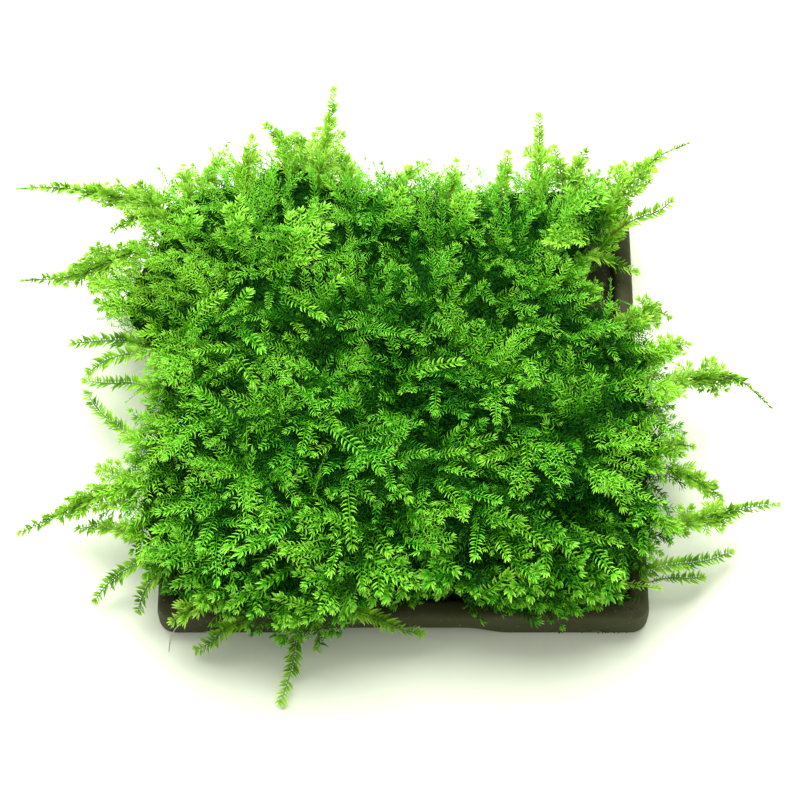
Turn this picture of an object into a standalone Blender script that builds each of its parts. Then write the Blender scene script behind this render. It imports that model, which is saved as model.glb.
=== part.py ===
"""A clump of feather moss that has grown over the rim of a low square tray.

The origin is the middle of the tray's flat base, on the surface it stands on. +X is right, +Y is back
and +Z is up. The moss cushion fills the tray and hangs over its rim, and long leafy shoots trail out
of it on all sides. Sizes are in millimetres and are turned into metres where a mesh is made.
"""
import math

import bmesh
import bpy
import numpy as np
from mathutils import Vector, noise
from mathutils.bvhtree import BVHTree

MM = 0.001
GAP = 0.3  # air left between pieces that touch

# Tray
TRAY_HALF = 40.0  # half the side of the square, at the rim
TRAY_FLARE = 0.35  # how much further out the foot stands than the rim
TRAY_HEIGHT = 7.0
TRAY_CORNER = 2.6  # radius of the square's corners, in plan
TRAY_INNER_CORNER = 0.8  # least radius of the corners on the inner side
TRAY_WALL = 3.3
TRAY_FLOOR = 4.0  # height of the inner floor above the table
RIM_ROUND = 1.2
FOOT_ROUND = 0.6
FLOOR_FILLET = 1.0
CORNER_STEPS = 6
RIM_STEPS = 4
FILLET_STEPS = 3
ARCH_HEIGHT = 2.4  # the shallow arch under the middle of each side
ARCH_FLAT_HALF = 10.0
ARCH_FOOT_HALF = 17.5
ARCH_DEPTH = 5.0
ARCH_STEPS = 6
CUTTER_BEYOND = 3.0  # how far a cutter stands out past the tray's side
CUTTER_BELOW = 1.0

# Moss cushion
CUSHION_LEVEL = 10.0  # height at which the cushion is widest
CUSHION_TOP = 22.5
CUSHION_SINK = 1.0  # how far it reaches below the tray's floor before it is cut to fit
CUSHION_DETAIL = 5  # subdivisions of the ball that the cushion is shaped from
CUSHION_EDGE_POWER = 2.7  # 2 is an ellipse, more is squarer
BALL_EQUATOR_DEG = -28.0  # latitude of the ball that becomes the widest level
HUMMOCK = 1.5  # height of the broad lumps
HUMMOCK_SPACING = 17.0
TUFT_COUNT = 190
TUFT_RISE = (2.6, 5.0)
TUFT_LEAN = 0.7  # sideways lean of a tuft's tip, against 1 outwards
TUFT_HOLLOW = 0.5
TUFT_SETBACK = 2.5  # how far the cushion's own surface stands inside the outline that its tufts reach
TUFT_LOWEST_DEG = -34.0
TUFT_LOWEST = 9.5  # height, so that no tuft reaches down to the tray's rim
TUFT_SEED = 7
SHOOT_BERTH = 4.5  # no tuft rises nearer than this to a trailing shoot

# The cushion's outline seen from above at its widest level, anticlockwise from the right
CUSHION_OUTLINE = (
    (44.5, 0.0), (44.0, 5.0), (40.0, 10.0), (34.5, 15.0), (31.5, 18.0), (31.5, 22.0), (36.5, 28.5),
    (37.5, 35.5), (31.0, 38.7), (16.0, 37.2), (0.0, 37.2), (-9.0, 39.5), (-15.0, 43.0), (-26.0, 44.0),
    (-33.0, 39.5), (-42.0, 37.5), (-44.5, 34.0), (-44.0, 28.5), (-49.0, 21.0), (-51.5, 14.5),
    (-47.5, 9.0), (-42.8, 3.5), (-43.5, -4.0), (-45.0, -12.0), (-45.0, -27.0), (-40.0, -34.5),
    (-34.5, -39.8), (-25.0, -42.5), (-13.0, -43.5), (-5.0, -40.0), (8.0, -39.2), (18.0, -41.2),
    (28.0, -41.2), (36.5, -37.5), (41.5, -30.5), (44.0, -25.5), (42.5, -19.5), (46.0, -13.5), (43.0, -7.0),
)

# Trailing shoots
LEAF_PITCH = 1.4  # distance from a leaf pair's tips to the notch after it
LEAST_STRETCHES = 3  # of a shoot, however short it is
LEAFY_HALF_WIDTH = 1.35
NOTCH_HALF_WIDTH = 0.6
STEM_HALF_WIDTH = 0.35
SHOOT_HALF_THICKNESS = 0.32
TIP_HALF_WIDTH = 1.15
ROOT_REACH = 10.0  # how far inside the cushion a shoot's line begins
ROOT_DIVE = 0.7  # how steeply that part goes down, against 1 backwards
LINE_STEPS = 24  # points of a shoot's line between two of its given points

# Edges sharper than this stay sharp when a piece is shaded smooth
TRAY_SHARP_DEG = 40
SHOOT_SHARP_DEG = 50
CUSHION_SHARP_DEG = 70

# Colour and roughness of each material
TRAY_LOOK = ((0.045, 0.048, 0.028), 0.6)
MOSS_LOOK = ((0.07, 0.33, 0.01), 0.7)
SHOOT_LOOK = ((0.16, 0.48, 0.03), 0.65)

# Name, then where the shoot leaves the mass, a point on its way, and its tip
SHOOTS = (
    ("left_1", (-44.5, 31.0, 18.0), (-58.5, 34.5, 17.0), (-67.5, 35.5, 15.0)),
    ("left_2", (-43.5, 28.0, 19.0), (-48.0, 28.0, 16.0), (-50.5, 28.5, 12.5)),
    ("left_3", (-47.0, 21.5, 17.0), (-56.0, 18.5, 15.0), (-66.5, 20.0, 10.0)),
    ("left_4", (-45.5, 7.0, 13.0), (-51.5, 8.0, 11.0), (-57.0, 8.5, 9.0)),
    ("left_5", (-47.0, 4.0, 14.0), (-50.5, 3.0, 13.0), (-53.5, 2.0, 10.0)),
    ("left_6", (-44.5, -0.5, 12.0), (-49.5, 1.0, 9.0), (-55.0, 3.0, 6.0)),
    ("left_7", (-46.0, -9.0, 11.0), (-50.5, -4.5, 8.0), (-54.5, 1.5, 5.0)),
    ("left_8", (-46.5, -19.0, 12.0), (-56.0, -22.0, 8.0), (-64.5, -24.0, 3.0)),
    ("left_9", (-46.0, -26.0, 10.0), (-50.0, -24.5, 8.0), (-54.5, -24.0, 5.0)),
    ("left_10", (-43.5, -31.5, 9.0), (-48.5, -33.5, 5.0), (-51.0, -36.0, 2.0)),
    ("left_11", (-40.5, -35.0, 11.0), (-42.6, -37.0, 7.0), (-43.4, -38.0, 3.0)),
    ("front_1", (-32.0, -39.5, 13.0), (-35.0, -41.0, 12.0), (-37.5, -41.5, 9.0)),
    ("front_2", (-28.0, -42.0, 8.0), (-31.5, -43.5, 4.0), (-34.5, -43.5, 0.8)),
    ("front_3", (-17.0, -42.0, 8.5), (-18.0, -46.5, 2.5), (-20.0, -53.0, 0.8)),
    ("front_4", (-14.0, -42.0, 8.5), (-13.5, -43.5, 5.0), (-14.5, -43.5, 1.2)),
    ("front_5", (-6.0, -40.5, 10.0), (-1.0, -41.8, 7.0), (3.5, -42.0, 4.5)),
    ("back_1", (-33.5, 37.0, 17.0), (-32.0, 39.0, 18.0), (-31.0, 41.9, 17.0)),
    ("back_2", (-27.5, 36.0, 19.0), (-26.0, 40.0, 20.0), (-26.5, 43.5, 20.0)),
    ("back_3", (-20.0, 39.0, 19.5), (-21.5, 43.0, 19.0), (-24.5, 47.0, 18.0)),
    ("back_4", (-17.0, 40.0, 20.0), (-18.0, 43.0, 19.0), (-19.0, 45.5, 18.0)),
    ("back_5", (-14.0, 36.5, 21.5), (-12.5, 45.0, 22.0), (-12.0, 52.0, 22.0)),
    ("back_6", (-9.5, 37.0, 18.0), (-10.5, 40.0, 18.0), (-10.5, 43.5, 16.5)),
    ("back_7", (-1.0, 35.5, 17.0), (1.5, 37.6, 17.3), (3.7, 40.2, 15.8)),
    ("back_8", (8.5, 35.5, 17.0), (9.0, 38.0, 17.3), (9.5, 40.5, 16.5)),
    ("back_9", (17.5, 37.0, 18.0), (18.0, 39.3, 18.0), (18.2, 41.9, 17.0)),
    ("back_10", (23.0, 35.0, 20.0), (23.5, 42.0, 20.0), (23.5, 48.0, 20.0)),
    ("back_11", (27.0, 38.0, 18.0), (26.5, 40.0, 18.0), (26.5, 43.0, 17.0)),
    ("back_12", (29.5, 36.0, 18.0), (30.5, 39.0, 18.0), (32.0, 42.5, 16.5)),
    ("back_13", (-37.0, 34.0, 17.0), (-37.9, 37.5, 16.5), (-38.3, 40.6, 14.8)),
    ("right_1", (37.0, 33.5, 17.0), (44.0, 41.0, 16.0), (50.5, 44.5, 16.0)),
    ("right_2", (39.0, 29.0, 15.0), (44.0, 31.5, 14.0), (47.0, 34.5, 14.0)),
    ("right_3", (33.0, 23.5, 13.0), (37.0, 23.0, 10.5), (41.0, 22.0, 9.0)),
    ("right_4", (38.5, 10.5, 15.0), (42.5, 13.0, 13.0), (46.0, 12.5, 10.0)),
    ("right_5", (41.5, 4.0, 13.0), (45.0, 6.0, 12.5), (49.0, 8.0, 10.0)),
    ("right_6", (46.5, -1.0, 14.0), (55.5, 0.5, 12.0), (63.0, -2.5, 6.0)),
    ("right_7", (43.5, -11.5, 11.0), (46.6, -10.6, 9.5), (48.9, -10.0, 7.0)),
    ("right_8", (47.5, -16.0, 9.0), (50.5, -17.5, 7.0), (53.5, -18.5, 4.0)),
    ("right_9", (47.0, -24.5, 10.0), (56.5, -21.0, 7.0), (63.5, -18.5, 3.0)),
    ("right_10", (42.0, -32.0, 9.0), (49.0, -30.0, 6.0), (55.0, -27.0, 3.0)),
    ("right_11", (42.5, -33.3, 7.0), (46.7, -32.6, 5.0), (50.0, -31.3, 2.5)),
    ("right_12", (36.5, -35.5, 10.0), (39.5, -35.7, 9.5), (42.0, -35.8, 8.6)),
)


def make_material(name, colour, roughness):
    """A plain Principled material with the part's colour."""
    material = bpy.data.materials.new(name)
    material.use_nodes = True
    shader = material.node_tree.nodes["Principled BSDF"]
    shader.inputs["Base Color"].default_value = (*colour, 1.0)
    shader.inputs["Roughness"].default_value = roughness
    shader.inputs["Metallic"].default_value = 0.0
    material.diffuse_color = (*colour, 1.0)
    return material


def add_object(name, points_mm, faces, material, sharp_deg=None):
    """A mesh object from points in millimetres, shaded smooth but for edges over sharp_deg."""
    mesh = bpy.data.meshes.new(name)
    mesh.from_pydata([Vector(p) * MM for p in points_mm], [], faces)
    mesh.materials.append(material)
    fix = bmesh.new()
    fix.from_mesh(mesh)
    bmesh.ops.recalc_face_normals(fix, faces=fix.faces)
    fix.to_mesh(mesh)
    fix.free()
    if sharp_deg is not None:
        mesh.shade_smooth()
        mesh.set_sharp_from_angle(angle=math.radians(sharp_deg))
    thing = bpy.data.objects.new(name, mesh)
    bpy.context.scene.collection.objects.link(thing)
    return thing


def as_cutter(thing):
    """Marks an object as a tool that is no part of the model."""
    thing.hide_render = True
    thing.display_type = "WIRE"
    return thing


def cut(thing, cutter):
    """Takes the cutter's volume away from the object."""
    boolean = thing.modifiers.new("cut_" + cutter.name, "BOOLEAN")
    boolean.operation = "DIFFERENCE"
    boolean.solver = "EXACT"
    boolean.object = cutter


def square_ring(half, radius, z):
    """The corners of a rounded square at height z, anticlockwise."""
    ring = []
    for quarter in range(4):
        start = math.radians(90.0 * quarter)
        centre_x = (half - radius) * (1 if quarter in (0, 3) else -1)
        centre_y = (half - radius) * (1 if quarter in (0, 1) else -1)
        for step in range(CORNER_STEPS + 1):
            turn = start + math.radians(90.0) * step / CORNER_STEPS
            ring.append((centre_x + radius * math.cos(turn), centre_y + radius * math.sin(turn), z))
    return ring


def arc(centre, radius, from_deg, to_deg, steps):
    """Points of an arc in the (outwards, up) plane of a wall."""
    points = []
    for step in range(steps + 1):
        turn = math.radians(from_deg + (to_deg - from_deg) * step / steps)
        points.append((centre[0] + radius * math.cos(turn), centre[1] + radius * math.sin(turn)))
    return points


def tray_profile(grown):
    """The tray's section from its foot, over the rim, to its floor: (half width, height) pairs."""
    outer = TRAY_HALF + grown
    inner = TRAY_HALF - TRAY_WALL - grown
    foot = outer + TRAY_FLARE
    top = TRAY_HEIGHT + grown
    floor = TRAY_FLOOR + grown
    profile = arc((foot - FOOT_ROUND, FOOT_ROUND - grown), FOOT_ROUND, -90, 0, FILLET_STEPS)
    profile += arc((outer - RIM_ROUND, top - RIM_ROUND), RIM_ROUND, 0, 90, RIM_STEPS)
    profile += arc((inner + RIM_ROUND, top - RIM_ROUND), RIM_ROUND, 90, 180, RIM_STEPS)
    profile += arc((inner - FLOOR_FILLET, floor + FLOOR_FILLET), -FLOOR_FILLET, 180, 90, FILLET_STEPS)
    return profile


def tray_solid(name, grown, material):
    """A body of the tray's form with all its faces moved out by grown."""
    points = []
    for half, z in tray_profile(grown):
        radius = max(TRAY_CORNER + half - TRAY_HALF, TRAY_INNER_CORNER)
        points += square_ring(half, radius, z)
    around = 4 * (CORNER_STEPS + 1)
    rings = len(points) // around
    faces = []
    for ring in range(rings - 1):
        low = ring * around
        high = low + around
        for step in range(around):
            after = (step + 1) % around
            faces.append((low + step, low + after, high + after, high + step))
    faces.append(tuple(range(around))[::-1])
    faces.append(tuple(range((rings - 1) * around, rings * around)))
    return add_object(name, points, faces, material, TRAY_SHARP_DEG)


def make_arch_cutter(name, turn_deg, material):
    """The space under one side's arch, an S-curved ramp at each end of a flat roof."""
    outline = [(-ARCH_FOOT_HALF, -CUTTER_BELOW)]
    for step in range(ARCH_STEPS + 1):
        share = step / ARCH_STEPS
        x = -ARCH_FOOT_HALF + (ARCH_FOOT_HALF - ARCH_FLAT_HALF) * share
        outline.append((x, ARCH_HEIGHT * (1 - math.cos(math.pi * share)) / 2))
    outline += [(-x, z) for x, z in reversed(outline)]
    count = len(outline)
    near = -(TRAY_HALF + CUTTER_BEYOND)
    far = -(TRAY_HALF - ARCH_DEPTH)
    points = [(x, near, z) for x, z in outline] + [(x, far, z) for x, z in outline]
    faces = [tuple(range(count)), tuple(range(count, 2 * count))[::-1]]
    faces += [(i, (i + 1) % count, count + (i + 1) % count, count + i) for i in range(count)]
    cutter = add_object(name, points, faces, material)
    cutter.rotation_euler = (0.0, 0.0, math.radians(turn_deg))
    return as_cutter(cutter)


def make_tray(material):
    """The low square tray, flat below but for the arch under each side."""
    tray = tray_solid("tray", 0.0, material)
    for side, turn_deg in (("front", 0), ("right", 90), ("back", 180), ("left", 270)):
        cut(tray, make_arch_cutter("arch_" + side, turn_deg, material))
    return tray


def outline_radius(angles):
    """Distance from the middle to the cushion's outline in each direction, in radians."""
    xy = np.array(CUSHION_OUTLINE)
    at = np.unwrap(np.arctan2(xy[:, 1], xy[:, 0]))
    reach = np.hypot(xy[:, 0], xy[:, 1])
    turn = 2 * math.pi
    at = np.concatenate((at - turn, at, at + turn))
    return np.interp(angles, at, np.tile(reach, 3))


def cushion_point(direction):
    """Where a direction from the ball's middle lands on the smooth cushion."""
    angle = math.atan2(direction.y, direction.x)
    latitude = math.degrees(math.asin(max(-1.0, min(1.0, direction.z))))
    if latitude >= BALL_EQUATOR_DEG:
        rise = (latitude - BALL_EQUATOR_DEG) / (90.0 - BALL_EQUATOR_DEG)
    else:
        rise = (latitude - BALL_EQUATOR_DEG) / (90.0 + BALL_EQUATOR_DEG)
    turn = rise * math.pi / 2
    power = 2 / CUSHION_EDGE_POWER
    out = math.cos(turn) ** power if abs(rise) < 1 else 0.0
    up = math.copysign(abs(math.sin(turn)) ** power, turn)
    depth = CUSHION_LEVEL - TRAY_FLOOR + CUSHION_SINK
    height = (CUSHION_TOP - CUSHION_LEVEL) * up if up > 0 else depth * up
    reach = (float(outline_radius(angle)) - TUFT_SETBACK) * out
    return Vector((reach * math.cos(angle), reach * math.sin(angle), CUSHION_LEVEL + height))


def spread_directions(count, lowest_deg):
    """Even directions over the ball above a latitude, on a golden spiral."""
    golden = math.pi * (3 - math.sqrt(5))
    lowest = math.sin(math.radians(lowest_deg))
    for i in range(count):
        z = 1 - (1 - lowest) * (i + 0.5) / count
        flat = math.sqrt(1 - z * z)
        yield Vector((flat * math.cos(golden * i), flat * math.sin(golden * i), z))


def shoot_distance(point):
    """Distance from a point to the nearest trailing shoot's three points and the stretches between them."""
    nearest = math.inf
    for _, *route in SHOOTS:
        for a, b in zip(route, route[1:]):
            a, b = Vector(a), Vector(b)
            share = max(0.0, min(1.0, (point - a).dot(b - a) / (b - a).length_squared))
            nearest = min(nearest, (a.lerp(b, share) - point).length)
    return nearest


def raise_tufts(shape):
    """Pulls single points of the cushion out into pointed tufts, and sinks those round them."""
    chance = np.random.default_rng(TUFT_SEED)
    ball = [v.normal.copy() for v in shape.verts]
    start = [v.co.copy() for v in shape.verts]
    taken = set()
    for direction in spread_directions(TUFT_COUNT, TUFT_LOWEST_DEG):
        target = cushion_point(direction)
        tip = min(shape.verts, key=lambda v: (start[v.index] - target).length_squared)
        ring = {edge.other_vert(tip).index for edge in tip.link_edges}
        if tip.index in taken or ring & taken or tip.co.z < TUFT_LOWEST:
            continue
        if shoot_distance(tip.co) < SHOOT_BERTH:
            continue
        taken |= ring | {tip.index}
        outward = ball[tip.index]
        lean = Vector(chance.uniform(-TUFT_LEAN, TUFT_LEAN, 3))
        tip.co += (outward + lean).normalized() * chance.uniform(*TUFT_RISE)
        for index in ring:
            shape.verts[index].co -= ball[index] * TUFT_HOLLOW


def make_cushion(material, clay):
    """The grown-together mass of moss, cut to fit the tray and its rim."""
    shape = bmesh.new()
    bmesh.ops.create_icosphere(shape, subdivisions=CUSHION_DETAIL, radius=1.0)
    for v in shape.verts:
        v.co = cushion_point(v.co.normalized())
    shape.normal_update()
    for v in shape.verts:
        lump = noise.noise(v.co / HUMMOCK_SPACING)
        v.co += v.normal * HUMMOCK * lump * (v.co.z > TRAY_HEIGHT)
    shape.normal_update()
    shape.verts.ensure_lookup_table()
    raise_tufts(shape)
    points = [v.co.copy() for v in shape.verts]
    faces = [tuple(v.index for v in face.verts) for face in shape.faces]
    shape.free()
    cushion = add_object("moss_cushion", points, faces, material, CUSHION_SHARP_DEG)
    cut(cushion, as_cutter(tray_solid("tray_clearance", GAP, clay)))
    return cushion


def surface_tree(thing):
    """A search tree over an object's finished surface, in metres."""
    graph = bpy.context.evaluated_depsgraph_get()
    return BVHTree.FromObject(thing, graph)


def shoot_line(root, way, tip):
    """A smooth line from inside the cushion, out through the root and the way point to the tip."""
    root, way, tip = Vector(root), Vector(way), Vector(tip)
    inward = ((root - way).normalized() + Vector((0, 0, -ROOT_DIVE))).normalized() * ROOT_REACH
    knots = [root + inward * 2, root + inward, root, way, tip, tip * 2 - way]
    line = []
    for i in range(1, len(knots) - 2):
        before, a, b, after = knots[i - 1:i + 3]
        for step in range(LINE_STEPS):
            t = step / LINE_STEPS
            line.append(0.5 * (2 * a + (b - before) * t + (2 * before - 5 * a + 4 * b - after) * t ** 2
                               + (3 * a - before - 3 * b + after) * t ** 3))
    return line + [tip]


def evenly_along(line, spacing):
    """Points at equal steps along a line, ending at its last point."""
    xyz = np.array([tuple(p) for p in line])
    run = np.concatenate(([0.0], np.cumsum(np.linalg.norm(np.diff(xyz, axis=0), axis=1))))
    count = max(int(round(run[-1] / spacing)), LEAST_STRETCHES)
    at = np.linspace(0.0, run[-1], count + 1)
    return [Vector([np.interp(s, run, xyz[:, k]) for k in range(3)]) for s in at]


def half_width(steps_left, room):
    """A shoot's half width at a ring: a leaf pair, a notch or the bud, or what the room lets it be."""
    if steps_left == 1:
        full = TIP_HALF_WIDTH
    else:
        full = LEAFY_HALF_WIDTH if steps_left % 2 else NOTCH_HALF_WIDTH
    return max(min(full, room), STEM_HALF_WIDTH)


def free_room(point, trees):
    """Distance in millimetres from a point to the nearest other piece, less the gap kept to it."""
    return min(tree.find_nearest(point * MM)[3] for tree in trees) / MM - GAP


def outside_part(line, trees):
    """The part of a shoot's line from its tip back to where its stem meets the cushion."""
    for i in reversed(range(len(line))):
        if free_room(line[i], trees) < STEM_HALF_WIDTH:
            return line[i + 1:]
    return line


def make_shoot(name, root, way, tip, trees, material):
    """One trailing shoot: a thin tapering blade with toothed edges, where its leaf pairs stand."""
    points = evenly_along(outside_part(shoot_line(root, way, tip), trees), LEAF_PITCH)
    count = len(points)
    corners, faces = [], []
    for i, point in enumerate(points[:-1]):
        ahead = (points[i + 1] - points[max(i - 1, 0)]).normalized()
        side = ahead.cross(Vector((0, 0, 1))).normalized()
        above = side.cross(ahead).normalized()
        half = STEM_HALF_WIDTH if i == 0 else half_width(count - 1 - i, free_room(point, trees))
        thick = SHOOT_HALF_THICKNESS
        corners += [point + side * half, point + above * thick, point - side * half, point - above * thick]
    rings = count - 1
    for ring in range(rings - 1):
        for k in range(4):
            a, b = 4 * ring + k, 4 * ring + (k + 1) % 4
            faces.append((a, b, b + 4, a + 4))
    corners.append(points[-1])
    end = len(corners) - 1
    last = 4 * (rings - 1)
    faces += [(last + k, last + (k + 1) % 4, end) for k in range(4)]
    faces.append((3, 2, 1, 0))
    return add_object("shoot_" + name, corners, faces, material, SHOOT_SHARP_DEG)


def main():
    for thing in list(bpy.data.objects):
        bpy.data.objects.remove(thing, do_unlink=True)
    clay = make_material("tray_plastic", *TRAY_LOOK)
    moss = make_material("moss_green", *MOSS_LOOK)
    young = make_material("shoot_green", *SHOOT_LOOK)
    tray = make_tray(clay)
    cushion = make_cushion(moss, clay)
    trees = [surface_tree(tray), surface_tree(cushion)]
    for name, root, way, tip in SHOOTS:
        make_shoot(name, root, way, tip, trees, young)


main()
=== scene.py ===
"""The looks of the moss clump: its leafy fronds, its trailing shoots and its worn plastic tray.

Sizes are in millimetres and turn into metres where a mesh is made. The moss is made of sprigs. A sprig
is a curved stem with two rows of small curved leaves and a fan of leaves at its tip, and a branched one
has shorter sprigs on both its sides in one plane. Each leaf has two numbers, its shade (0 old and dark,
1 young and pale, with painted light and painted shade added in) and its warmth (0 blue-green,
1 yellow-green), and the leaf material reads its colour from them.
"""

import math

import bpy
import numpy as np
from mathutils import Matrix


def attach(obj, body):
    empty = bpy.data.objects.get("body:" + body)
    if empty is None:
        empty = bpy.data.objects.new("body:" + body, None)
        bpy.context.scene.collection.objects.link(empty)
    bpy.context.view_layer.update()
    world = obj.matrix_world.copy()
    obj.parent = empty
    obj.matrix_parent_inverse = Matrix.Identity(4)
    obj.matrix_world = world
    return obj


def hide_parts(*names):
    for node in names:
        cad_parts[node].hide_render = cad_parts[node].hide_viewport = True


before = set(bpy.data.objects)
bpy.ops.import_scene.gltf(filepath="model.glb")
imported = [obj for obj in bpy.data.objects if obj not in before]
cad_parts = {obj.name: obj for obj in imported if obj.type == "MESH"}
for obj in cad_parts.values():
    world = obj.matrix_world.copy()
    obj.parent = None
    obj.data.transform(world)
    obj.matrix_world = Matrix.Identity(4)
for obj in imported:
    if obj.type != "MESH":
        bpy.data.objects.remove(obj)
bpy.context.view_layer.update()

MM = 0.001
UP = np.array([0.0, 0.0, 1.0])

# Camera, worked out from the tray's visible edges
CAMERA_TARGET = (-0.54, 2.1, 0.0)
CAMERA_DISTANCE = 368.8
CAMERA_ELEVATION_DEG = 65.0
CAMERA_LENS = 95.8
CAMERA_SENSOR = 36.0
CAMERA_CLIP = (0.01, 20.0)  # in metres

# Studio: each light's name, place and side in metres, and power in watts
LIGHTS = (
    ("key_light", (-0.04, 0.44, 0.55), 0.80, 15.2),
    ("left_light", (-0.50, 0.05, 0.30), 0.40, 0.7),
    ("right_light", (0.50, 0.0, 0.30), 0.40, 0.4),
)
LIGHT_AIM = (0.0, 0.0, 0.015)
SURROUND_STRENGTH = 0.54
FLOOR_HALF = 3000.0
# The floor's yellow-green tint is painted green light bounced from the moss, seen where the floor lies in
# shade
FLOOR_COLOUR_WITH_PAINTED_BOUNCE = (0.84, 0.89, 0.71, 1.0)

# Tray, as in the solid
TRAY_HALF = 40.0
TRAY_FLARE = 0.35
TRAY_HEIGHT = 7.0
TRAY_CORNER = 2.6
TRAY_WALL = 3.3
TRAY_FLOOR = 4.0
RIM_ROUND = 1.2
FOOT_ROUND = 0.6
FLOOR_FILLET = 1.0
ARCH_HEIGHT = 2.4
ARCH_FLAT_HALF = 10.0
ARCH_FOOT_HALF = 17.5
ARCH_DEPTH = 5.0
ARCH_STEP = 0.02  # run of the step at the arches' inner end

# Mesh of the tray
FLOOR_RING = 6.0  # width of the ring of faces on its floor
WALL_STEPS = 5
WALL_STEP = 0.55  # height of each step down the flared wall
LEAST_CORNER = 0.8
CORNER_STEPS = 12
SIDE_STEPS = 64

# Dirt on the tray: a pale hair down its front left corner, and dark crumbs in patches given by their
# lowest and highest corner and the number of crumbs. The hair's end points only give its direction.
HAIR_RADIUS = 0.075
HAIR = (
    (-34.8, -38.6, 7.6), (-35.3, -39.5, 7.1), (-35.9, -40.3, 5.8), (-37.3, -40.6, 3.0), (-38.0, -40.9, 0.9),
    (-38.4, -41.7, 0.18), (-38.5, -43.5, 0.12), (-38.3, -44.5, 0.12),
)
CRUMB_SIZE = (0.09, 0.19)
CRUMB_SEED = 21
CRUMB_PATCHES = (
    ((34.6, -38.9, 7.0), (38.0, -37.6, 7.0), 15), ((26.0, -40.4, 0.4), (37.0, -40.2, 1.8), 14),
    ((19.5, -40.4, 0.3), (37.0, -40.3, 0.5), 9),
)

# Mat of moss, as in the solid
MAT_LEVEL = 10.0  # height at which the mat is widest
MAT_TOP = 22.5
MAT_EDGE_POWER = 2.7
MAT_INSET = 1.0  # the height is down to the widest level this far inside the outline
MAT_OUTLINE = (
    (44.5, 0), (44, 5), (40, 10), (34.5, 15), (31.5, 18), (31.5, 22), (36.5, 28.5), (37.5, 35.5),
    (31, 38.7), (16, 37.2), (0, 37.2), (-9, 39.5), (-15, 43), (-26, 44), (-33, 39.5), (-42, 37.5),
    (-44.5, 34), (-44, 28.5), (-49, 21), (-51.5, 14.5), (-47.5, 9), (-42.8, 3.5), (-43.5, -4),
    (-45, -12), (-45, -27), (-40, -34.5), (-34.5, -39.8), (-25, -42.5), (-13, -43.5), (-5, -40),
    (8, -39.2), (18, -41.2), (28, -41.2), (36.5, -37.5), (41.5, -30.5), (44, -25.5), (42.5, -19.5),
    (46, -13.5), (43, -7),
)

# How sprigs are scattered over the mat, and how it is cut into pieces
MAT_SEED = 11
SCATTER_GRID = (90, 360)
SCATTER_TRIES = 8  # for each square with the spacing as its side
MAT_ROWS = (-24.0, 6.0)  # where the pieces meet, from front to back

# Hummocks of the mat: where their tops stand and how far they rise
HUMMOCK_RADIUS = 9.0
HUMMOCK_EDGE = 2  # their tops stand at least this far inside the outline
HUMMOCKS = (
    (-18, 37, 4), (-37, 23, 3), (-28, 23, 2.8), (-16, 21, 3.2), (-5, 6, 2.8), (-11, 6, 2.4), (12, 28, 3.2),
    (28, 26, 2.8), (17, 19, 2.8), (25, 13, 3), (-26, -1, 2.6), (-38, -1, 3), (-42, 17, 3), (-38, -15, 3.2),
    (-30, -12, 2.8), (-12, -10, 3), (-5, -18, 3.2), (-8, -31, 2.6), (24, -20, 2.8), (12, -28, 3),
    (20, -32, 2.8), (26, -35, 3.2), (1, -39, 2.8), (-15, -42, 3.4), (-29, -44, 3.4), (-34, -36, 3.4),
    (6, -2, 2.4), (16, -6, 3), (21, -11, 3), (30, -10, 2.8), (25, -42, 3), (12, -40, 2.8), (-45, 30, 3),
    (-30, 32, 3.2), (-7, 30, 3), (3, 31, 2.6), (22, 32, 3), (35, 32, 2.8), (-45, 7, 2.6), (38, 4, 3),
    (40, -5, 3), (42, -16, 3), (44, -25, 3), (37, -35, 3), (-34, 7, 2.2), (-21, 11, 2.6), (-44, -27, 3),
    (-40, -37, 2.8), (-25, -24, 2.6), (-20, -13, 2.2), (4, 11, 2.6), (-1, -6, 2.2), (-16, -34, 2.6),
    (6, -23, 2.2), (33, -22, 2.4), (36, 11, 2.8), (-36, -9, 2.6), (-30, -28, 2.4),
)
HOLLOW_RADIUS = 3.6
HOLLOW_DEPTH = 3.6
HOLLOWS = (
    (-13, 0), (-1, 19), (8, 9), (19, 6), (32, -1), (-26.5, 12), (-19, 5), (-28, -6), (-2, -10), (7, -14),
    (27, -13), (-9, -19), (14, -22), (26, -28), (-13, -28), (-1, -29), (14, -35), (-27, -37), (-19, -39),
    (-37, -23), (-22, -18), (-8, -38), (30, -36), (9.5, -34), (30, -27), (22.5, -28.5),
)
HOLLOW_OPEN = 2.1  # no frond of the upper layers ends nearer than this to a hollow's middle

# Places round the mat's edge where the table or the tray shows between the twigs
BARE_EDGES = ((-42.5, 4), (-44.5, -4.5), (43.5, -19.5), (-45, 31), (34, 19), (41, -35))
BARE_EDGE_REACH = (2.4, 5.4)  # twigs are gone within the first distance and whole past the second
# Places round the mat's edge where the twigs reach further out, and how much further, or less far
LONG_EDGES = (
    (-50.5, 17, 3.8), (-47, 24, 1.5), (-45, -19, 3), (-43, -31, 1), (44.5, -12, 1.2), (37.5, 13, 2.2),
    (38, 29, 1.2), (-2, -40, -1.8), (6, -39, -1.8), (15, -41, -0.9), (25, -41.5, -1.4), (33, -39, -0.8),
)
LONG_EDGE_RADIUS = 5.5
EDGE_PULL = 1.2  # the mat draws in by this times the reach that its twigs lack

# Dark inner mass, its darkness partly painted shade
HEART_SEED = 3
HEART_INSET = 3.6
HEART_LUMPS = 0.8  # share of the mat's lumps that it follows
HEART_ROUGH = 0.25
HEART_SIDES = 2.0  # how much further in its sides are than its top
HEART_GAP = 0.5  # to the tray's rim and wall
HEART_CORNER = 1.33  # its reach into the tray's corners, as a share of half the inside
HEART_FOOT = ((TRAY_HEIGHT + 0.4, 0.0), (TRAY_FLOOR + 1.2, 0.3), (TRAY_FLOOR + 0.3, 1.2))  # height, inset

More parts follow.
